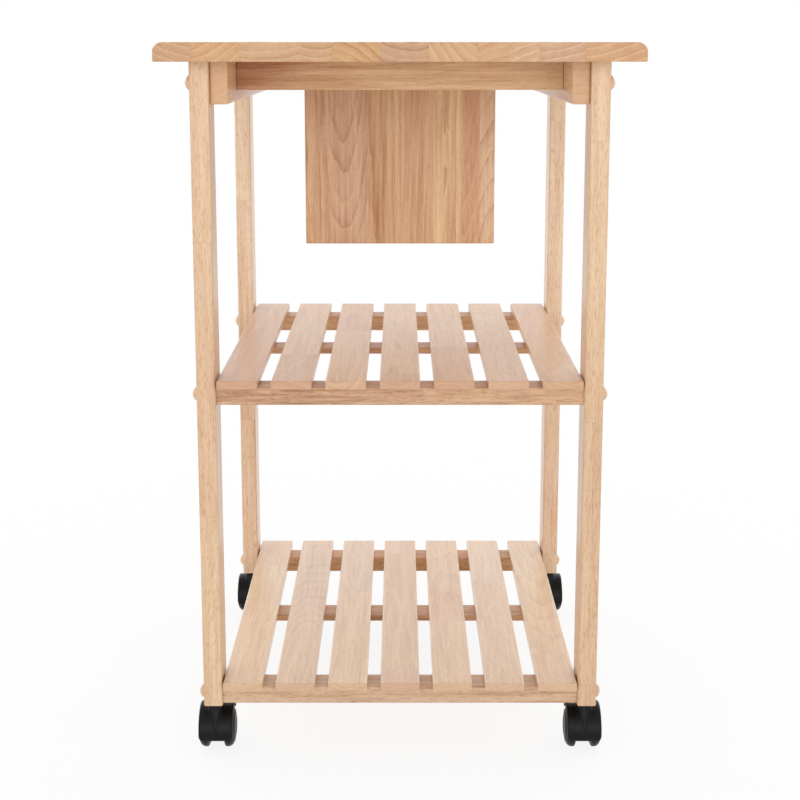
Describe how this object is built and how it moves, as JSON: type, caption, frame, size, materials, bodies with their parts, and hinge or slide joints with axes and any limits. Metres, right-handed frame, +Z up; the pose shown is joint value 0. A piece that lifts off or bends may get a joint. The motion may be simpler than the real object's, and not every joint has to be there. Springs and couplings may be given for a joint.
{
  "type": "kitchen cart",
  "caption": "Wooden kitchen cart with a rounded work top, a board hanging under it, slatted shelves and hooded swivel casters.",
  "frame": {"origin": "on the floor under the middle of the cart", "axes": "+X to the right of the open end that the picture shows, +Y away from the viewer, +Z up"},
  "size_m": [0.534, 0.586, 0.842],
  "materials": {
    "top_wood": "clear satin lacquer",
    "frame_wood": "clear satin lacquer",
    "board_wood": "clear satin lacquer",
    "slat_wood": "clear satin lacquer",
    "caster_black": "gloss",
    "wheel_black": "semi-gloss",
    "steel": "zinc plated"
  },
  "bodies": {
    "frame": {"table_top": "top_wood", "side_rail_left": "frame_wood", "side_rail_right": "frame_wood", "front_apron": "frame_wood", "rear_apron": "frame_wood", "hanging_board": "board_wood", "leg_front_left": "frame_wood", "leg_front_right": "frame_wood", "leg_rear_left": "frame_wood", "leg_rear_right": "frame_wood", "mid_shelf_front_bar": "frame_wood", "mid_shelf_rear_bar": "frame_wood", "mid_shelf_centre_batten": "frame_wood", "mid_shelf_slat_1": "slat_wood", "mid_shelf_slat_2": "slat_wood", "mid_shelf_slat_3": "slat_wood", "mid_shelf_slat_4": "slat_wood", "mid_shelf_slat_5": "slat_wood", "mid_shelf_slat_6": "slat_wood", "mid_shelf_slat_7": "slat_wood", "low_shelf_front_bar": "frame_wood", "low_shelf_rear_bar": "frame_wood", "low_shelf_centre_batten": "frame_wood", "low_shelf_slat_1": "slat_wood", "low_shelf_slat_2": "slat_wood", "low_shelf_slat_3": "slat_wood", "low_shelf_slat_4": "slat_wood", "low_shelf_slat_5": "slat_wood", "low_shelf_slat_6": "slat_wood", "low_shelf_slat_7": "slat_wood", "top_screws": "steel", "board_screws": "steel", "slat_screws": "steel", "rail_screws": "steel", "shelf_bolts": "steel", "barrel_nuts": "steel", "stem_sockets": "steel", "apron_dowels": "frame_wood", "bolt_caps": "frame_wood", "caster_front_left_stem": "steel", "caster_front_right_stem": "steel", "caster_rear_left_stem": "steel", "caster_rear_right_stem": "steel"},
    "front_left_hood": {"caster_front_left_hood": "caster_black", "caster_front_left_axle": "steel"},
    "front_left_left_wheel": {"caster_front_left_wheel_left": "wheel_black"},
    "front_left_right_wheel": {"caster_front_left_wheel_right": "wheel_black"},
    "front_right_hood": {"caster_front_right_hood": "caster_black", "caster_front_right_axle": "steel"},
    "front_right_left_wheel": {"caster_front_right_wheel_left": "wheel_black"},
    "front_right_right_wheel": {"caster_front_right_wheel_right": "wheel_black"},
    "rear_left_hood": {"caster_rear_left_hood": "caster_black", "caster_rear_left_axle": "steel"},
    "rear_left_left_wheel": {"caster_rear_left_wheel_left": "wheel_black"},
    "rear_left_right_wheel": {"caster_rear_left_wheel_right": "wheel_black"},
    "rear_right_hood": {"caster_rear_right_hood": "caster_black", "caster_rear_right_axle": "steel"},
    "rear_right_left_wheel": {"caster_rear_right_wheel_left": "wheel_black"},
    "rear_right_right_wheel": {"caster_rear_right_wheel_right": "wheel_black"}
  },
  "joints": [
    {"name": "front_left_swivel", "type": "hinge", "parent": "frame", "child": "front_left_hood", "pos_m": [-0.2215, -0.2315, 0.025], "axis": [0, 0, 1], "continuous": true},
    {"name": "front_left_left_wheel_spin", "type": "hinge", "parent": "front_left_hood", "child": "front_left_left_wheel", "pos_m": [-0.2215, -0.2195, 0.025], "axis": [1, 0, 0], "continuous": true},
    {"name": "front_left_right_wheel_spin", "type": "hinge", "parent": "front_left_hood", "child": "front_left_right_wheel", "pos_m": [-0.2215, -0.2195, 0.025], "axis": [1, 0, 0], "continuous": true},
    {"name": "front_right_swivel", "type": "hinge", "parent": "frame", "child": "front_right_hood", "pos_m": [0.2215, -0.2315, 0.025], "axis": [0, 0, 1], "continuous": true},
    {"name": "front_right_left_wheel_spin", "type": "hinge", "parent": "front_right_hood", "child": "front_right_left_wheel", "pos_m": [0.2215, -0.2195, 0.025], "axis": [1, 0, 0], "continuous": true},
    {"name": "front_right_right_wheel_spin", "type": "hinge", "parent": "front_right_hood", "child": "front_right_right_wheel", "pos_m": [0.2215, -0.2195, 0.025], "axis": [1, 0, 0], "continuous": true},
    {"name": "rear_left_swivel", "type": "hinge", "parent": "frame", "child": "rear_left_hood", "pos_m": [-0.2215, 0.2315, 0.025], "axis": [0, 0, 1], "continuous": true},
    {"name": "rear_left_left_wheel_spin", "type": "hinge", "parent": "rear_left_hood", "child": "rear_left_left_wheel", "pos_m": [-0.2215, 0.2435, 0.025], "axis": [1, 0, 0], "continuous": true},
    {"name": "rear_left_right_wheel_spin", "type": "hinge", "parent": "rear_left_hood", "child": "rear_left_right_wheel", "pos_m": [-0.2215, 0.2435, 0.025], "axis": [1, 0, 0], "continuous": true},
    {"name": "rear_right_swivel", "type": "hinge", "parent": "frame", "child": "rear_right_hood", "pos_m": [0.2215, 0.2315, 0.025], "axis": [0, 0, 1], "continuous": true},
    {"name": "rear_right_left_wheel_spin", "type": "hinge", "parent": "rear_right_hood", "child": "rear_right_left_wheel", "pos_m": [0.2215, 0.2435, 0.025], "axis": [1, 0, 0], "continuous": true},
    {"name": "rear_right_right_wheel_spin", "type": "hinge", "parent": "rear_right_hood", "child": "rear_right_right_wheel", "pos_m": [0.2215, 0.2435, 0.025], "axis": [1, 0, 0], "continuous": true}
  ]
}
